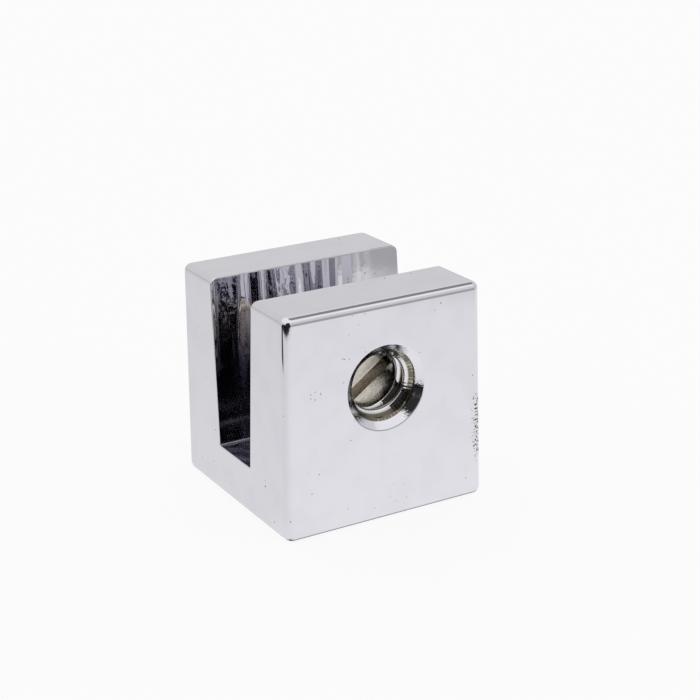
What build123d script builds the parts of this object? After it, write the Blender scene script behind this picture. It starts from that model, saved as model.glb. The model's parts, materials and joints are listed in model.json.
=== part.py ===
from build123d import *
import os
from math import radians, tan

# Glass panel clamp: a U-shaped die-cast block whose slot takes the edge of a glass panel,
# and a slotted set screw that runs through the front cheek and presses the panel home.
# Frame: origin at the centre of the base, +Z up out of the slot's mouth, the slot along X,
# and the screw's axis along Y, entering from the front face at -Y. Millimetres.

# Block: a die casting, widest at its base, drawn from its die along Z.
BLOCK_WIDTH = 19.4
BLOCK_DEPTH = 19.35
BLOCK_HEIGHT = 19.45
END_DRAFT = 1.0
FACE_DRAFT = 0.4
CORNER_RADIUS = 0.8
RIM_RADIUS = 0.65

# Slot for the panel, open at the top and at both ends.
SLOT_FLOOR_WIDTH = 5.85
SLOT_FLOOR_HEIGHT = 4.4
SLOT_DRAFT = 3.25
SLOT_CORNER_RADIUS = 0.2
SLOT_LIP_RADIUS = 0.1

# Tapped hole through the front cheek, for a 1/4 inch screw with 20 threads to the inch.
THREAD_DIAMETER = 6.35
THREAD_PITCH = 1.27
THREAD_CLEARANCE = 0.05
COUNTERSINK_DEPTH = 0.575
COUNTERSINK_EDGE_RADIUS = 0.15

# Set screw with a slotted end and a flat point.
SCREW_LENGTH = 4.76
SCREW_TURNS_PAST_WALL = 1
SCREW_END_CHAMFER = 0.5
SCREW_POINT_CHAMFER = 0.78
DRIVER_SLOT_WIDTH = 1.0
DRIVER_SLOT_DEPTH = 1.6
DRIVER_SLOT_ANGLE = 35

# Places that follow from those sizes.
hole_height = (SLOT_FLOOR_HEIGHT + BLOCK_HEIGHT) / 2
slot_wall_y = SLOT_FLOOR_WIDTH / 2 + (hole_height - SLOT_FLOOR_HEIGHT) * tan(radians(SLOT_DRAFT))
front_face_y = BLOCK_DEPTH / 2 - hole_height * tan(radians(FACE_DRAFT))
screw_point_y = -slot_wall_y + SCREW_TURNS_PAST_WALL * THREAD_PITCH
FROM_FOOT = (Align.CENTER, Align.CENTER, Align.MIN)


def drafted_section(foot_width, foot_height, draft):
    """A four-sided section from foot_height to the block's top, leaning inwards by the draft."""
    foot_half = foot_width / 2
    top_half = foot_half - (BLOCK_HEIGHT - foot_height) * tan(radians(draft))
    return Polygon(
        (-foot_half, foot_height),
        (foot_half, foot_height),
        (top_half, BLOCK_HEIGHT),
        (-top_half, BLOCK_HEIGHT),
        align=None,
    )


def drafted_body():
    """The outer block, its ends and its faces each leaning in by their own draft."""
    ends = extrude(Plane.XZ * drafted_section(BLOCK_WIDTH, 0, END_DRAFT), BLOCK_DEPTH, both=True)
    faces = extrude(Plane.YZ * drafted_section(BLOCK_DEPTH, 0, FACE_DRAFT), BLOCK_WIDTH, both=True)
    return ends & faces


def rounded_body():
    """The outer block with its four upright edges rounded, then its bottom and top rims."""
    body = drafted_body()
    uprights = body.edges().group_by(Axis.Z)[1]
    body = fillet(uprights, CORNER_RADIUS)
    levels = body.edges().group_by(Axis.Z)
    return fillet(levels[0] + levels[-1], RIM_RADIUS)


def panel_slot():
    """The cut for the panel: a section that opens upwards, run past both ends."""
    section = drafted_section(SLOT_FLOOR_WIDTH, SLOT_FLOOR_HEIGHT, -SLOT_DRAFT)
    section = fillet(section.vertices().group_by(Axis.Y)[0], SLOT_CORNER_RADIUS)
    return extrude(Plane.YZ * section, BLOCK_WIDTH, both=True)


def slot_lips(body):
    """The edges where the slot's walls and floor run out at the top and at both ends."""
    walls = body.faces().filter_by(
        lambda face: abs(face.center().Y) < 2 * slot_wall_y - SLOT_FLOOR_WIDTH / 2
        and face.center().Z > SLOT_FLOOR_HEIGHT / 2
        and abs(face.center().X) < RIM_RADIUS
    )
    inner_corners = walls.edges().filter_by(Axis.X).filter_by_position(Axis.Z, 0, hole_height)
    return walls.edges() - inner_corners


def screw_axis_plane(y):
    """A plane across the screw's axis at y, facing the front."""
    return Plane(origin=(0, y, hole_height), x_dir=(1, 0, 0), z_dir=(0, -1, 0))


def tapped_hole():
    """The hole's plain wall at the thread's major diameter, with its conical countersink."""
    bore_radius = THREAD_DIAMETER / 2
    bore = extrude(screw_axis_plane(0) * Circle(bore_radius), BLOCK_DEPTH / 2)
    foot_y = -front_face_y + COUNTERSINK_DEPTH
    cone = Cone(bore_radius, bore_radius + 2 * COUNTERSINK_DEPTH, 2 * COUNTERSINK_DEPTH, align=FROM_FOOT)
    return bore + screw_axis_plane(foot_y) * cone


def clamp_block():
    """The casting: drafted body with rounded outer edges, slotted, then drilled and countersunk."""
    body = rounded_body()
    body -= panel_slot()
    body = fillet(slot_lips(body), SLOT_LIP_RADIUS)
    body -= tapped_hole()
    front = body.faces().sort_by(Axis.Y)[0]
    return fillet(front.inner_wires().edges(), COUNTERSINK_EDGE_RADIUS)


def set_screw():
    """The screw as a plain cylinder at its thread's outside, chamfered at both ends and slotted."""
    radius = THREAD_DIAMETER / 2 - THREAD_CLEARANCE
    profile = Polyline(
        (0, 0),
        (radius - SCREW_POINT_CHAMFER, 0),
        (radius, SCREW_POINT_CHAMFER),
        (radius, SCREW_LENGTH - SCREW_END_CHAMFER),
        (radius - SCREW_END_CHAMFER, SCREW_LENGTH),
        (0, SCREW_LENGTH),
        close=True,
    )
    turned = revolve(Plane.XZ * make_face(profile), Axis.Z)
    driver_slot = Box(4 * radius, DRIVER_SLOT_WIDTH, 2 * DRIVER_SLOT_DEPTH)
    driver_slot = Pos(0, 0, SCREW_LENGTH) * Rot(0, 0, DRIVER_SLOT_ANGLE) * driver_slot
    return screw_axis_plane(screw_point_y) * (turned - driver_slot)


os.makedirs("parts", exist_ok=True)
export_step(clamp_block(), "parts/clamp_block.step")
export_step(set_screw(), "parts/set_screw.step")
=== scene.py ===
import json
import math

import bmesh
import bpy
from mathutils import Matrix, Vector


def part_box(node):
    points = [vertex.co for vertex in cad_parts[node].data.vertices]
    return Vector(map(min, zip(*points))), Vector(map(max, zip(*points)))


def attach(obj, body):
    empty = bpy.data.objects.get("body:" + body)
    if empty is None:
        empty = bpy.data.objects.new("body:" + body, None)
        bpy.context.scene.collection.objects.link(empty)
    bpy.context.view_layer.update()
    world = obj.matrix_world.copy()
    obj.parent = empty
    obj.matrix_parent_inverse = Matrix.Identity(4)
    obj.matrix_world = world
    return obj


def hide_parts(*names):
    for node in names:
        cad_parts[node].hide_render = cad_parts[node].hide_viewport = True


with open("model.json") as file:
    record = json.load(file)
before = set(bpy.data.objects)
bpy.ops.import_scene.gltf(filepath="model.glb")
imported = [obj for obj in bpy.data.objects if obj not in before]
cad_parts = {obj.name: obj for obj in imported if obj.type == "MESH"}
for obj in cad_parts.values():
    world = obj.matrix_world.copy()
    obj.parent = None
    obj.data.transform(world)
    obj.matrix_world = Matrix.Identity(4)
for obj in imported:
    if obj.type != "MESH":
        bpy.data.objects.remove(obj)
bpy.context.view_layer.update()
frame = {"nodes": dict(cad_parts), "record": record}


# Clamp block: one zinc die casting drawn from its die along Z, polished outside and plated with
# bright chrome. In the slot the die's drag marks stay under the plating as upright streaks, the
# chrome's colour is painted darker and its finish rougher towards the floor as painted shade, and
# one front edge is scuffed down to the bare casting.

MM = 0.001
CHROME = (0.775, 0.765, 0.815, 1.0)
HAZE = (0.75, 0.74, 0.795, 1.0)
# Painted shade: the darker chrome colour deep in the slot.
SLOT_SHADE_CHROME = (0.37, 0.36, 0.41, 1.0)
BARE_CASTING = (0.10, 0.10, 0.11, 1.0)
CHROME_ROUGHNESS = 0.045
DEEP_SLOT_ROUGHNESS = 0.11
CASTING_ROUGHNESS = 0.6
SKIN_DEPTH = 0.02 * MM
DRAG_DEPTH = 0.5 * MM
TOOL_MARK_DEPTH = 0.012 * MM
PIT_DEPTH = 0.05 * MM

block = frame["nodes"]["clamp_block"]
block_low, block_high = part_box("clamp_block")
mount_places = {mount["name"]: mount["pos_m"] for mount in frame["record"]["mounts"]}
slot_floor_z = mount_places["panel_seat"][2]
screw_low, screw_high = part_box("set_screw")
axis_z = (screw_low[2] + screw_high[2]) / 2


def add_node(tree, kind, inputs=None, **settings):
    """Places a node, with its settings, its input values and its links."""
    node = tree.nodes.new(kind)
    for name, value in settings.items():
        setattr(node, name, value)
    for name, value in (inputs or {}).items():
        if isinstance(value, bpy.types.NodeSocket):
            tree.links.new(value, node.inputs[name])
        else:
            node.inputs[name].default_value = value
    return node


def math_node(tree, operation, *values):
    """One sum on numbers or sockets, giving its result's socket."""
    return add_node(tree, "ShaderNodeMath", dict(enumerate(values)), operation=operation).outputs[0]


def product(tree, first, *others):
    """The product of several values, as of masks that all have to hold."""
    for other in others:
        first = math_node(tree, "MULTIPLY", first, other)
    return first


def vector_node(tree, operation, *values):
    """One sum on vectors, giving the socket of its number or of its vector."""
    node = add_node(tree, "ShaderNodeVectorMath", dict(enumerate(values)), operation=operation)
    return node.outputs["Value" if operation in ("LENGTH", "DOT_PRODUCT") else "Vector"]


def ramp(tree, value, start, end, low=0.0, high=1.0):
    """A smooth step from low to high while the value goes from start to end."""
    inputs = {"Value": value, "From Min": start, "From Max": end, "To Min": low, "To Max": high}
    return add_node(tree, "ShaderNodeMapRange", inputs, interpolation_type="SMOOTHSTEP").outputs[0]


def blend_value(tree, amount, first, second):
    """The first value going smoothly over to the second by the amount."""
    return ramp(tree, amount, 0.0, 1.0, first, second)


def blend_colour(tree, amount, first, second):
    """The first colour going over to the second by the amount."""
    node = add_node(tree, "ShaderNodeMix", data_type="RGBA")
    sockets = (node.inputs[0], node.inputs[6], node.inputs[7])
    for socket, value in zip(sockets, (amount, first, second)):
        if isinstance(value, bpy.types.NodeSocket):
            tree.links.new(value, socket)
        else:
            socket.default_value = value
    return node.outputs[2]


def noise(tree, point, per_mm, detail):
    """Smooth noise with so many lumps per millimetre and so many finer layers."""
    inputs = {"Vector": point, "Scale": per_mm, "Detail": detail}
    return add_node(tree, "ShaderNodeTexNoise", inputs).outputs[0]


def bump(tree, height, depth, below=None, invert=False):
    """A normal bent by a height of so many metres, over the normal below it."""
    inputs = {"Height": height, "Distance": depth}
    if below is not None:
        inputs["Normal"] = below
    return add_node(tree, "ShaderNodeBump", inputs, invert=invert).outputs[0]


def around_hole(tree, point):
    """A point's place across the hole's axis, and its distance from that axis."""
    inputs = {"Vector": point, "Location": (0.0, 0.0, -axis_z / MM)}
    centred = add_node(tree, "ShaderNodeMapping", inputs).outputs[0]
    place = vector_node(tree, "MULTIPLY", centred, (1.0, 0.0, 1.0))
    return place, vector_node(tree, "LENGTH", place)


def new_material(name):
    """A node material with its Principled shader, and its Object coordinates in millimetres."""
    material = bpy.data.materials.new(name)
    material.use_nodes = True
    tree = material.node_tree
    coordinates = add_node(tree, "ShaderNodeTexCoord")
    inputs = {"Vector": coordinates.outputs["Object"], "Scale": (1 / MM, 1 / MM, 1 / MM)}
    point = add_node(tree, "ShaderNodeMapping", inputs).outputs[0]
    return material, tree, tree.nodes["Principled BSDF"], point, coordinates.outputs["Normal"]


def casting_pits():
    """A node group in which some cells of a cell pattern hold one small round hole each."""
    least_size = 0.3
    group = bpy.data.node_groups.new("casting_pits", "ShaderNodeTree")
    inputs = {"Point": "NodeSocketVector", "Cells per mm": "NodeSocketFloat",
              "Share": "NodeSocketFloat", "Size": "NodeSocketFloat"}
    for name, kind in inputs.items():
        group.interface.new_socket(name, in_out="INPUT", socket_type=kind)
    group.interface.new_socket("Mask", in_out="OUTPUT", socket_type="NodeSocketFloat")
    entry = group.nodes.new("NodeGroupInput").outputs
    result = group.nodes.new("NodeGroupOutput").inputs
    pattern = {"Vector": entry["Point"], "Scale": entry["Cells per mm"]}
    cells = add_node(group, "ShaderNodeTexVoronoi", pattern)
    draw = add_node(group, "ShaderNodeSeparateColor", {"Color": cells.outputs["Color"]})
    pitted = math_node(group, "LESS_THAN", draw.outputs["Red"], entry["Share"])
    size = product(group, math_node(group, "ADD", draw.outputs["Green"], least_size), entry["Size"])
    hollow = ramp(group, cells.outputs["Distance"], 0.0, size, 1.0, 0.0)
    group.links.new(product(group, pitted, hollow), result["Mask"])
    return group


# The material's sizes and places from here on are in millimetres, as its coordinates are.
chrome, tree, shader, point, facing = new_material("chrome_plate")
place = add_node(tree, "ShaderNodeSeparateXYZ", {"Vector": point})
face = add_node(tree, "ShaderNodeSeparateXYZ", {"Vector": facing})
height = place.outputs["Z"]
over_floor = math_node(tree, "SUBTRACT", height, slot_floor_z / MM)

# Where the slot is: between its walls, above its floor and not on the block's ends.
SLOT_REACH = (3.82, 3.77)
FLOOR_EDGE = (-0.3, -0.1)
END_FACING = (0.6, 0.3)
in_slot = product(
    tree,
    ramp(tree, math_node(tree, "ABSOLUTE", place.outputs["Y"]), *SLOT_REACH),
    ramp(tree, over_floor, *FLOOR_EDGE),
    ramp(tree, math_node(tree, "ABSOLUTE", face.outputs["X"]), *END_FACING),
)

# Upright drag marks: noise drawn out along Z, with patches of rough casting skin among them. They
# fade towards the slot's floor and towards its right end.
DRAG_STRETCH = (1.0, 1.0, 0.06)
DRAG_PER_MM = 0.8
GRAIN_PER_MM = 1.6
PATCHES_PER_MM = 0.3
PATCH_LEVELS = (0.45, 0.6)
ROUGH_SKIN = 0.035
DRAG_HEIGHTS = (2.0, 11.0)
DRAG_AT_FLOOR = 0.25
RIGHT_END = (5.0, 7.0)
DRAG_AT_RIGHT_END = 0.1
drawn_out = add_node(tree, "ShaderNodeMapping", {"Vector": point, "Scale": DRAG_STRETCH}).outputs[0]
drag = noise(tree, drawn_out, DRAG_PER_MM, 0.0)
grain = noise(tree, point, GRAIN_PER_MM, 1.0)
patches = ramp(tree, noise(tree, point, PATCHES_PER_MM, 1.0), *PATCH_LEVELS, 0.0, ROUGH_SKIN)
marks = math_node(tree, "ADD", drag, product(tree, grain, patches))
high_up = ramp(tree, over_floor, *DRAG_HEIGHTS, DRAG_AT_FLOOR, 1.0)
off_right_end = ramp(tree, place.outputs["X"], *RIGHT_END, 1.0, DRAG_AT_RIGHT_END)
slot_marks = product(tree, marks, in_slot, high_up, off_right_end)

# Marks of the countersinking tool, on the cone round the hole's mouth only.
CONE_NOT_FRONT = (0.95, 0.85)
CONE_NOT_BORE = (0.4, 0.55)
CONE_REACH = (4.3, 4.0)
TOOL_MARKS_PER_MM = 5.0
leaning = math_node(tree, "ABSOLUTE", face.outputs["Y"])
_, from_hole = around_hole(tree, point)
on_cone = product(
    tree,
    ramp(tree, leaning, *CONE_NOT_FRONT),
    ramp(tree, leaning, *CONE_NOT_BORE),
    ramp(tree, from_hole, *CONE_REACH),
)
tool_marks = product(tree, noise(tree, point, TOOL_MARKS_PER_MM, 3.0), on_cone)

# The scuff on the front right edge: a short upright stretch broken up by grain.
SCUFF_INSET = (0.5, 0.1)
SCUFF_HEIGHT = 6.6
SCUFF_REACH = (1.35, 0.1)
SCUFF_LENGTH = (3.9, 2.3)
SCUFF_GRAIN_PER_MM = 5.0
SCUFF_WEAR = 0.25
SCUFF_LEVELS = (0.73, 0.85)
SCUFF_EDGE = 0.15
scuff_place = (block_high[0] / MM - SCUFF_INSET[0], block_low[1] / MM + SCUFF_INSET[1], SCUFF_HEIGHT)
from_scuff = vector_node(tree, "ABSOLUTE", vector_node(tree, "SUBTRACT", point, scuff_place))
aside = add_node(tree, "ShaderNodeSeparateXYZ", {"Vector": from_scuff})
scuff_away = math_node(tree, "ADD", aside.outputs["X"], aside.outputs["Y"])
scuff_zone = product(
    tree,
    ramp(tree, scuff_away, *SCUFF_REACH),
    ramp(tree, aside.outputs["Z"], *SCUFF_LENGTH),
)
scuff_grain = noise(tree, point, SCUFF_GRAIN_PER_MM, 3.0)
scuff_depth = math_node(tree, "ADD", scuff_grain, product(tree, scuff_zone, SCUFF_WEAR))
scuff = product(tree, ramp(tree, scuff_depth, *SCUFF_LEVELS), ramp(tree, scuff_zone, 0.0, SCUFF_EDGE))

# Pits: some lie singly, smaller ones in clusters, with more clusters near the base.
CLUSTERS_PER_MM = 0.35
CLUSTER_LEVELS = (0.58, 0.66)
BASE_HEIGHTS = (5.0, 0.5)
MORE_AT_BASE = 0.14
pits = casting_pits()
single_values = {"Point": point, "Cells per mm": 0.7, "Share": 0.3, "Size": 0.08}
single_pits = add_node(tree, "ShaderNodeGroup", single_values, node_tree=pits).outputs["Mask"]
cluster_values = {"Point": point, "Cells per mm": 1.9, "Share": 0.5, "Size": 0.14}
cluster_pits = add_node(tree, "ShaderNodeGroup", cluster_values, node_tree=pits).outputs["Mask"]
near_base = ramp(tree, height, *BASE_HEIGHTS, 0.0, MORE_AT_BASE)
clusters = math_node(tree, "ADD", noise(tree, point, CLUSTERS_PER_MM, 0.0), near_base)
clustered_pits = product(tree, cluster_pits, ramp(tree, clusters, *CLUSTER_LEVELS))
bare = math_node(tree, "MAXIMUM", math_node(tree, "MAXIMUM", single_pits, clustered_pits), scuff)

# The plating: clouds of haze outside, painted shade that darkens it deep in the slot, and gone
# where it is bare.
CLOUDS_PER_MM = 0.4
CLOUD_LEVELS = (0.40, 0.68)
SLOT_SHADE_HEIGHTS = (13.0, 5.0)
hazy = ramp(tree, noise(tree, point, CLOUDS_PER_MM, 3.0), *CLOUD_LEVELS)
slot_shade = product(tree, in_slot, ramp(tree, over_floor, *SLOT_SHADE_HEIGHTS))
plated = blend_colour(tree, slot_shade, blend_colour(tree, hazy, CHROME, HAZE), SLOT_SHADE_CHROME)
tree.links.new(blend_colour(tree, bare, plated, BARE_CASTING), shader.inputs["Base Color"])
shine = blend_value(tree, slot_shade, CHROME_ROUGHNESS, DEEP_SLOT_ROUGHNESS)
tree.links.new(blend_value(tree, bare, shine, CASTING_ROUGHNESS), shader.inputs["Roughness"])
shader.inputs["Metallic"].default_value = 1.0

# Its skin: the slow waves of a hand-polished surface, with fine orange peel on them.
WAVES_PER_MM = 0.22
PEEL_PER_MM = 3.0
PEEL = 0.03
SKIN_IN_SLOT = 0.15
peel = product(tree, noise(tree, point, PEEL_PER_MM, 2.0), PEEL)
skin = math_node(tree, "ADD", noise(tree, point, WAVES_PER_MM, 1.0), peel)
skin = product(tree, skin, blend_value(tree, in_slot, 1.0, SKIN_IN_SLOT))
surface = bump(tree, skin, SKIN_DEPTH)
surface = bump(tree, slot_marks, DRAG_DEPTH, surface)
surface = bump(tree, tool_marks, TOOL_MARK_DEPTH, surface)
surface = bump(tree, bare, PIT_DEPTH, surface, invert=True)
tree.links.new(surface, shader.inputs["Normal"])

block.data.materials.clear()
block.data.materials.append(chrome)


# Hole thread: a right-handed 1/4 inch thread with 20 turns to the inch, tapped through the front
# cheek after casting and plated with the block. One ridge winds from the countersink to the slot's
# wall: its crest keeps the plating's colour, its flanks are painted dark as painted shade in the
# thread's grooves and carry the tap's fine chatter marks.

THREAD_PITCH = 1.27 * MM
BORE_RADIUS = 3.175 * MM
RIDGE_RADIUS = 2.49 * MM
RIDGE_EMBED = 0.03 * MM
RIDGE_CREST_FLAT = THREAD_PITCH / 4
FLANK = math.tan(math.radians(30))
CREST_BEND = math.radians(60)
FLANK_POINTS = 6
CREST_POINTS = 9
STEPS_A_TURN = 90
COUNTERSINK_DEPTH = 0.575 * MM
THREAD_START_DEPTH = 0.05 * MM
THREAD_START_ANGLE = math.radians(57)
THREAD_TURNS = 6
HIDDEN_DEPTH = 0.35 * MM
RIDGE_SHARP_ANGLE = math.radians(60)
FACE_DRAFT = math.radians(0.4)
BOTTOM_RIM = 0.65 * MM
SLOT_FLOOR_WIDTH = 5.85 * MM
SLOT_DRAFT = math.radians(3.25)
BEHIND_WALL = 0.01 * MM
MERGE_DISTANCE = 0.001 * MM
CUT_TOLERANCE = 1e-8
THREAD_PLATING = (0.77, 0.76, 0.78, 1.0)
# Painted shade: the dark colours of the thread's flanks and roots.
GROOVE_SHADE = (0.17, 0.15, 0.12, 1.0)
LIGHT_GROOVE_SHADE = (0.42, 0.41, 0.34, 1.0)
CREST_ROUGHNESS = 0.05
GROOVE_ROUGHNESS = 0.18
CHATTER_MARKS_A_TURN = 60
CHATTER_DEPTH = 0.003 * MM

face_y = block_low[1] + (axis_z - BOTTOM_RIM) * math.tan(FACE_DRAFT)
thread_start_y = face_y + THREAD_START_DEPTH


def ridge_profile(crest, root, crest_flat, outwards):
    """Half a thread's section, mirrored: flanks at 60 degrees that meet in a rounded crest.

    Each point is its place along the axis and its distance from it.
    """
    rounding = crest_flat / 2 / FLANK
    centre = crest - outwards * rounding
    arc = [CREST_BEND * (2 * step / (CREST_POINTS - 1) - 1) for step in range(CREST_POINTS)]
    crest_line = [
        (rounding * math.sin(bend), centre + outwards * rounding * math.cos(bend))
        for bend in arc
    ]
    along, out = crest_line[-1]
    foot = along + abs(out - root) * FLANK
    shares = [step / FLANK_POINTS for step in range(1, FLANK_POINTS + 1)]
    flank = [(along + (foot - along) * share, out + (root - out) * share) for share in shares]
    return [(-a, o) for a, o in reversed(flank)] + crest_line + flank


def wind(bm, profile, start_y, turns, closed):
    """Winds a section of (along, out) points round the screw's axis, one pitch a turn."""
    on_axis = (0.0, 0.0, axis_z)
    verts = [bm.verts.new((0.0, start_y + along, axis_z + out)) for along, out in profile]
    start_turn = Matrix.Rotation(THREAD_START_ANGLE, 3, "Y")
    bmesh.ops.rotate(bm, cent=on_axis, matrix=start_turn, verts=verts)
    edges = [bm.edges.new(pair) for pair in zip(verts, verts[1:])]
    if closed:
        edges.append(bm.edges.new((verts[-1], verts[0])))
    bmesh.ops.spin(bm, geom=verts + edges, cent=on_axis, axis=(0.0, 1.0, 0.0),
                   dvec=(0.0, THREAD_PITCH / STEPS_A_TURN, 0.0),
                   angle=turns * 2 * math.pi, steps=turns * STEPS_A_TURN)


def from_axis(vert):
    """A point's distance from the screw's axis."""
    return math.hypot(vert.co.x, vert.co.z - axis_z)


def set_distance(vert, distance):
    """Moves a point straight out from the screw's axis to a distance."""
    arm = Vector((vert.co.x, vert.co.z - axis_z))
    arm = arm * (distance / arm.length)
    vert.co.x = arm.x
    vert.co.z = axis_z + arm.y


def cut_off(bm, place, normal):
    """Cuts away what lies beyond a plane and closes the cut."""
    cut = bmesh.ops.bisect_plane(bm, geom=bm.verts[:] + bm.edges[:] + bm.faces[:], dist=CUT_TOLERANCE,
                                 plane_co=place, plane_no=normal, clear_outer=True)
    rim = [item for item in cut["geom_cut"] if isinstance(item, bmesh.types.BMEdge)]
    bmesh.ops.holes_fill(bm, edges=rim, sides=0)


def finish_piece(bm, name, material, sharp_angle):
    """Makes an object of a closed mesh, smooth but for edges that bend more than an angle."""
    bmesh.ops.recalc_face_normals(bm, faces=bm.faces[:])
    mesh = bpy.data.meshes.new(name)
    bm.to_mesh(mesh)
    bm.free()
    mesh.shade_smooth()
    mesh.set_sharp_from_angle(angle=sharp_angle)
    mesh.materials.append(material)
    piece = bpy.data.objects.new(name, mesh)
    bpy.context.scene.collection.objects.link(piece)
    return piece


bm = bmesh.new()
ridge = ridge_profile(RIDGE_RADIUS, BORE_RADIUS + RIDGE_EMBED, RIDGE_CREST_FLAT, -1)
wind(bm, ridge, thread_start_y, THREAD_TURNS, closed=True)
bmesh.ops.holes_fill(bm, edges=[edge for edge in bm.edges if edge.is_boundary], sides=0)

# The countersink takes the ridge's first turn down to its cone, where it runs out into the metal.
for vert in bm.verts:
    vert.co.y = max(vert.co.y, face_y + HIDDEN_DEPTH)
    cone_radius = BORE_RADIUS + RIDGE_EMBED + COUNTERSINK_DEPTH - (vert.co.y - face_y)
    if from_axis(vert) < cone_radius:
        set_distance(vert, cone_radius)
bmesh.ops.remove_doubles(bm, verts=bm.verts[:], dist=MERGE_DISTANCE)
wall_foot = (0.0, -SLOT_FLOOR_WIDTH / 2 - BEHIND_WALL, slot_floor_z)
cut_off(bm, wall_foot, (0.0, math.cos(SLOT_DRAFT), math.sin(SLOT_DRAFT)))

# Chatter marks come and go with the stain. The flanks and roots carry painted shade, lighter
# where the stain runs high and along the chatter marks.
STAINS_PER_MM = 0.9
CHATTER_STAINS = (0.4, 0.6)
LIGHTER_SHADE_STAINS = (0.55, 0.70)
LIGHTER_SHADE_CHATTER = (0.3, 0.8)
GROOVE_SHADE_FROM = (2.72, 2.86)
tapped, tree, shader, point, _ = new_material("tapped_thread_plate")
shader.inputs["Metallic"].default_value = 1.0
stain = noise(tree, point, STAINS_PER_MM, 3.0)
across_hole, from_hole = around_hole(tree, point)
parts = add_node(tree, "ShaderNodeSeparateXYZ", {"Vector": across_hole})
angle = math_node(tree, "ARCTAN2", parts.outputs["X"], parts.outputs["Z"])
chatter = math_node(tree, "SINE", product(tree, angle, float(CHATTER_MARKS_A_TURN)))
chatter = product(tree, chatter, ramp(tree, stain, *CHATTER_STAINS))
lighter_shade = math_node(tree, "MAXIMUM", ramp(tree, stain, *LIGHTER_SHADE_STAINS), ramp(tree, chatter, *LIGHTER_SHADE_CHATTER))
groove_shade_colour = blend_colour(tree, lighter_shade, GROOVE_SHADE, LIGHT_GROOVE_SHADE)
in_groove_shade = ramp(tree, from_hole, *GROOVE_SHADE_FROM)
tree.links.new(blend_colour(tree, in_groove_shade, THREAD_PLATING, groove_shade_colour), shader.inputs["Base Color"])
shine = blend_value(tree, in_groove_shade, CREST_ROUGHNESS, GROOVE_ROUGHNESS)
tree.links.new(shine, shader.inputs["Roughness"])
tree.links.new(bump(tree, chatter, CHATTER_DEPTH), shader.inputs["Normal"])

hole_thread = finish_piece(bm, "hole_thread", tapped, RIDGE_SHARP_ANGLE)
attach(hole_thread, "block")


# Set screw: turned from steel bar, threaded to fit the hole, slotted across its outer end for a
# driver and plated with satin nickel. It is chamfered at both ends, and its thread's roots are
# painted dark as painted shade.

SCREW_ROOT_RADIUS = 2.345 * MM
SCREW_CREST_FLAT = THREAD_PITCH / 8
SCREW_TURNS = 7
END_CHAMFER = 0.5 * MM
POINT_CHAMFER = 0.78 * MM
DRIVER_SLOT_WIDTH = 1.0 * MM
DRIVER_SLOT_DEPTH = 1.6 * MM
DRIVER_SLOT_ANGLE = math.radians(35)
SCREW_SHARP_ANGLE = math.radians(35)
NICKEL = (0.62, 0.58, 0.52, 1.0)
# Painted shade: the dark colour of the thread's roots.
ROOT_SHADE = (0.14, 0.125, 0.10, 1.0)
NICKEL_ROUGHNESS = (0.16, 0.32)
TURNING_DEPTH = 0.015 * MM

screw_radius = (screw_high[0] - screw_low[0]) / 2
end_y = screw_low[1]
point_y = screw_high[1]

# The screw's ridge starts before its end, half a pitch out of step with the hole's.
turns_before_end = math.floor((end_y - thread_start_y) / THREAD_PITCH) - 1
screw_start_y = thread_start_y + (turns_before_end + 0.5) * THREAD_PITCH


def cut_away(blank, cutter):
    """Takes the cutter's solid out of the blank's, and the cutter out of the scene."""
    tool = blank.modifiers.new("cut", "BOOLEAN")
    tool.operation = "DIFFERENCE"
    tool.object = cutter
    rest = bpy.data.meshes.new_from_object(blank.evaluated_get(bpy.context.evaluated_depsgraph_get()))
    rest.name = blank.name
    blank.modifiers.clear()
    blank.data = rest
    rest.set_sharp_from_angle(angle=SCREW_SHARP_ANGLE)
    bpy.data.objects.remove(cutter)


bm = bmesh.new()
thread = ridge_profile(screw_radius, SCREW_ROOT_RADIUS, SCREW_CREST_FLAT, 1)
thread = [(-THREAD_PITCH / 2, SCREW_ROOT_RADIUS)] + thread + [(THREAD_PITCH / 2, SCREW_ROOT_RADIUS)]
wind(bm, thread, screw_start_y, SCREW_TURNS, closed=False)
bmesh.ops.remove_doubles(bm, verts=bm.verts[:], dist=MERGE_DISTANCE)
cut_off(bm, (0.0, end_y, 0.0), (0.0, -1.0, 0.0))
cut_off(bm, (0.0, point_y, 0.0), (0.0, 1.0, 0.0))
for vert in bm.verts:
    end_limit = screw_radius - END_CHAMFER + (vert.co.y - end_y)
    point_limit = screw_radius - POINT_CHAMFER + (point_y - vert.co.y)
    limit = min(end_limit, point_limit)
    if from_axis(vert) > limit:
        set_distance(vert, limit)

# Painted shade in the thread's roots, darker where the nickel is mottled.
MOTTLE_PER_MM = 2.2
ROOT_REACH = (2.85, 2.4)
ROOT_FLOOR = (2.2, 2.34)
ROOT_SHADE_MOTTLE = (0.35, 0.65)
ROOT_SHADE_LEVELS = (0.35, 0.9)
ROUGH_MOTTLE = (0.3, 0.7)
TURNING_PER_MM = 3.5
nickel, tree, shader, point, _ = new_material("nickel_screw")
shader.inputs["Metallic"].default_value = 1.0
_, from_hole = around_hole(tree, point)
mottle = noise(tree, point, MOTTLE_PER_MM, 3.0)
painted_root_shade = product(
    tree,
    ramp(tree, from_hole, *ROOT_REACH),
    ramp(tree, from_hole, *ROOT_FLOOR),
    ramp(tree, mottle, *ROOT_SHADE_MOTTLE, *ROOT_SHADE_LEVELS),
)
tree.links.new(blend_colour(tree, painted_root_shade, NICKEL, ROOT_SHADE), shader.inputs["Base Color"])
tree.links.new(ramp(tree, mottle, *ROUGH_MOTTLE, *NICKEL_ROUGHNESS), shader.inputs["Roughness"])
turning = noise(tree, point, TURNING_PER_MM, 4.0)
tree.links.new(bump(tree, turning, TURNING_DEPTH), shader.inputs["Normal"])

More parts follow.
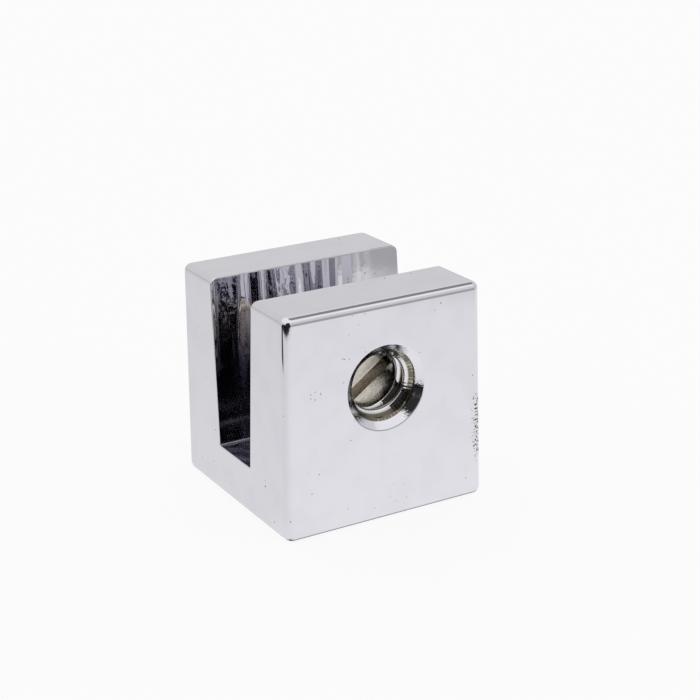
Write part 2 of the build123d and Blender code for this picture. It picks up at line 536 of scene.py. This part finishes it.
threaded_screw = finish_piece(bm, "threaded_screw", nickel, SCREW_SHARP_ANGLE)
bm = bmesh.new()
slot_size = (4 * screw_radius, 2 * DRIVER_SLOT_DEPTH, DRIVER_SLOT_WIDTH)
slot_turn = Matrix.Rotation(-DRIVER_SLOT_ANGLE, 3, "Y")
bmesh.ops.create_cube(bm, size=1.0)
bmesh.ops.scale(bm, vec=slot_size, verts=bm.verts)
bmesh.ops.rotate(bm, cent=(0.0, 0.0, 0.0), matrix=slot_turn, verts=bm.verts)
bmesh.ops.translate(bm, vec=(0.0, end_y, axis_z), verts=bm.verts)
cut_away(threaded_screw, finish_piece(bm, "driver_slot_cutter", nickel, SCREW_SHARP_ANGLE))
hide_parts("set_screw")
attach(threaded_screw, "screw")


# Studio: white paper under the block and a light tent round it, with a bright roof and a dark vent
# in the roof. The front left side is open and dark from the paper's end up, and the camera's dark
# stand reaches above it.

WHITE = (1.0, 1.0, 1.0, 1.0)
FLOOR_SIZE = 2.0
PAPER = (0.9, 0.9, 0.9, 1.0)
PAPER_ROUGHNESS = 0.9
PAPER_GLOW = 0.9
OPEN_SIDE = (-0.80, -0.60, 0.0)
OPEN_SIDE_EDGE = (0.60, 0.72)

bm = bmesh.new()
bmesh.ops.create_grid(bm, x_segments=1, y_segments=1, size=FLOOR_SIZE / 2)
floor_mesh = bpy.data.meshes.new("floor")
bm.to_mesh(floor_mesh)
bm.free()
floor = bpy.data.objects.new("floor", floor_mesh)
bpy.context.scene.collection.objects.link(floor)

# The paper glows white where the camera sees it. In mirrors it is brightest at the front right,
# fades with the distance in millimetres, has a dark gap on the left and ends at the open side.
# Under the block's footprint it is painted dark in mirrors: a painted shadow.
TO_FRONT_RIGHT = (0.7, -0.7, 0.0)
FRONT_RIGHT_EDGE = (-0.6, 0.5)
NEAR_LEVELS = (0.82, 0.94)
NEAR_DISTANCES = (10.0, 60.0)
NEAR_FADE = (1.02, 0.96)
FAR_DISTANCES = (62.0, 95.0)
FAR_FRONT = (-0.4, -0.7)
FAR_LEVELS = (0.74, 0.45)
GAP_START = (-50.0, -58.0)
GAP_HALF_WIDTH = (11.0, 7.0)
GAP_LEVEL = 0.06
PAPER_END = (70.0, 72.5)
PAST_PAPER_LEVEL = 0.008
SHADOW_EDGE = (0.1, -0.5)
MIRRORED_SHADOW_LEVEL = 0.05
paper, tree, shader, point, _ = new_material("white_paper")
shader.inputs["Base Color"].default_value = PAPER
shader.inputs["Roughness"].default_value = PAPER_ROUGHNESS
spot = add_node(tree, "ShaderNodeSeparateXYZ", {"Vector": point})
spot_y = math_node(tree, "ABSOLUTE", spot.outputs["Y"])
away = vector_node(tree, "LENGTH", point)
bearing = vector_node(tree, "NORMALIZE", point)
to_front_right = vector_node(tree, "DOT_PRODUCT", bearing, TO_FRONT_RIGHT)
near_level = product(
    tree,
    ramp(tree, to_front_right, *FRONT_RIGHT_EDGE, *NEAR_LEVELS),
    ramp(tree, away, *NEAR_DISTANCES, *NEAR_FADE),
)
ahead = add_node(tree, "ShaderNodeSeparateXYZ", {"Vector": bearing}).outputs["Y"]
far_level = ramp(tree, ahead, *FAR_FRONT, *FAR_LEVELS)
mirror_level = ramp(tree, away, *FAR_DISTANCES, near_level, far_level)
in_gap = product(tree, ramp(tree, spot.outputs["X"], *GAP_START), ramp(tree, spot_y, *GAP_HALF_WIDTH))
mirror_level = blend_value(tree, in_gap, mirror_level, GAP_LEVEL)
to_open_side = ramp(tree, vector_node(tree, "DOT_PRODUCT", bearing, OPEN_SIDE), *OPEN_SIDE_EDGE)
past_paper = product(tree, ramp(tree, away, *PAPER_END), to_open_side)
mirror_level = blend_value(tree, past_paper, mirror_level, PAST_PAPER_LEVEL)
# Painted shadow: the paper goes dark in mirrors under the block's footprint.
spot_x = math_node(tree, "ABSOLUTE", spot.outputs["X"])
beside_x = math_node(tree, "SUBTRACT", spot_x, block_high[0] / MM)
beside_y = math_node(tree, "SUBTRACT", spot_y, block_high[1] / MM)
painted_shadow = ramp(tree, math_node(tree, "MAXIMUM", beside_x, beside_y), *SHADOW_EDGE)
mirror_level = blend_value(tree, painted_shadow, mirror_level, MIRRORED_SHADOW_LEVEL)

rays = add_node(tree, "ShaderNodeLightPath").outputs
in_mirror = math_node(tree, "MAXIMUM", rays["Is Glossy Ray"], rays["Is Transmission Ray"])
seen = math_node(tree, "MAXIMUM", rays["Is Camera Ray"], in_mirror)
level = blend_value(tree, in_mirror, 1.0, mirror_level)
glow = add_node(tree, "ShaderNodeEmission", {"Color": WHITE, "Strength": level})
glowing = math_node(tree, "MAXIMUM", product(tree, seen, PAPER_GLOW), in_mirror)
mix = add_node(tree, "ShaderNodeMixShader", {0: glowing, 1: shader.outputs[0], 2: glow.outputs[0]})
tree.links.new(mix.outputs[0], tree.nodes["Material Output"].inputs["Surface"])
floor_mesh.materials.append(paper)

# The tent: levels of light by how far a ray rises and which way it goes.
ROOF_RISE = (0.50, 0.72)
ROOF_LEVEL = 1.0
WALL_RISE = (0.05, 0.32)
WALL_LEVEL = 0.735
FRONT_WALL = (-0.35, -0.65)
FOOT_LEVELS = (0.60, 0.40)
VENT = Vector((0.50, 0.12, 0.86)).normalized()
VENT_REACH = math.radians(20)
VENT_EDGE = math.radians(4)
VENT_LEVEL = 0.29
OPEN_SIDE_TOP = (0.30, 0.20)
OPEN_SIDE_LEVEL = 0.03
CAMERA_STAND = Vector((-0.459, -0.809, 0.400)).normalized()
CAMERA_STAND_REACH = math.radians(25)
CAMERA_STAND_EDGE = math.radians(3)
world = bpy.data.worlds.new("light_tent")
bpy.context.scene.world = world
world.use_nodes = True
tree = world.node_tree
ray = add_node(tree, "ShaderNodeTexCoord").outputs["Generated"]
parts = add_node(tree, "ShaderNodeSeparateXYZ", {"Vector": ray})
rise = parts.outputs["Z"]


def facing_mask(direction, reach, edge):
    """1 for rays within an angle of a direction, going soft over the edge's angle."""
    nearness = vector_node(tree, "DOT_PRODUCT", ray, direction)
    return ramp(tree, nearness, math.cos(reach + edge), math.cos(reach - edge))


front = ramp(tree, parts.outputs["Y"], *FRONT_WALL)
foot_of_wall = blend_value(tree, front, *FOOT_LEVELS)
walls = ramp(tree, rise, *WALL_RISE, foot_of_wall, WALL_LEVEL)
roof = ramp(tree, rise, *ROOF_RISE)
light = blend_value(tree, roof, walls, ROOF_LEVEL)
light = blend_value(tree, facing_mask(VENT, VENT_REACH, VENT_EDGE), light, VENT_LEVEL)
bearing = vector_node(tree, "NORMALIZE", vector_node(tree, "MULTIPLY", ray, (1.0, 1.0, 0.0)))
to_open_side = ramp(tree, vector_node(tree, "DOT_PRODUCT", bearing, OPEN_SIDE), *OPEN_SIDE_EDGE)
opening = product(tree, to_open_side, ramp(tree, rise, *OPEN_SIDE_TOP))
stand = facing_mask(CAMERA_STAND, CAMERA_STAND_REACH, CAMERA_STAND_EDGE)
light = blend_value(tree, math_node(tree, "MAXIMUM", opening, stand), light, OPEN_SIDE_LEVEL)
rays = add_node(tree, "ShaderNodeLightPath").outputs
seen = math_node(tree, "MAXIMUM", rays["Is Camera Ray"], rays["Is Transmission Ray"])
light = blend_value(tree, seen, light, 1.0)
background = tree.nodes["Background"]
background.inputs["Color"].default_value = WHITE
tree.links.new(light, background.inputs["Strength"])

# The camera stands where the photograph's did.
AZIMUTH = math.radians(-29.151)
ELEVATION = math.radians(20.834)
ROLL = math.radians(-1.340)
DISTANCE = 143.771 * MM
AIM = Vector((0.0, 0.0, 9.525 * MM))
LENS = 84.025
SHIFT = (0.02865, 0.04245)
CLIP_START = 10 * MM
towards = Vector((
    math.sin(AZIMUTH) * math.cos(ELEVATION),
    -math.cos(AZIMUTH) * math.cos(ELEVATION),
    math.sin(ELEVATION),
))
camera_data = bpy.data.cameras.new("camera")
camera_data.lens = LENS
camera_data.shift_x, camera_data.shift_y = SHIFT
camera_data.clip_start = CLIP_START
camera = bpy.data.objects.new("camera", camera_data)
turn = towards.to_track_quat("Z", "Y").to_matrix().to_4x4() @ Matrix.Rotation(ROLL, 4, "Z")
camera.matrix_world = Matrix.Translation(AIM + DISTANCE * towards) @ turn
bpy.context.scene.collection.objects.link(camera)
bpy.context.scene.camera = camera
bpy.context.scene.view_settings.view_transform = "Standard"
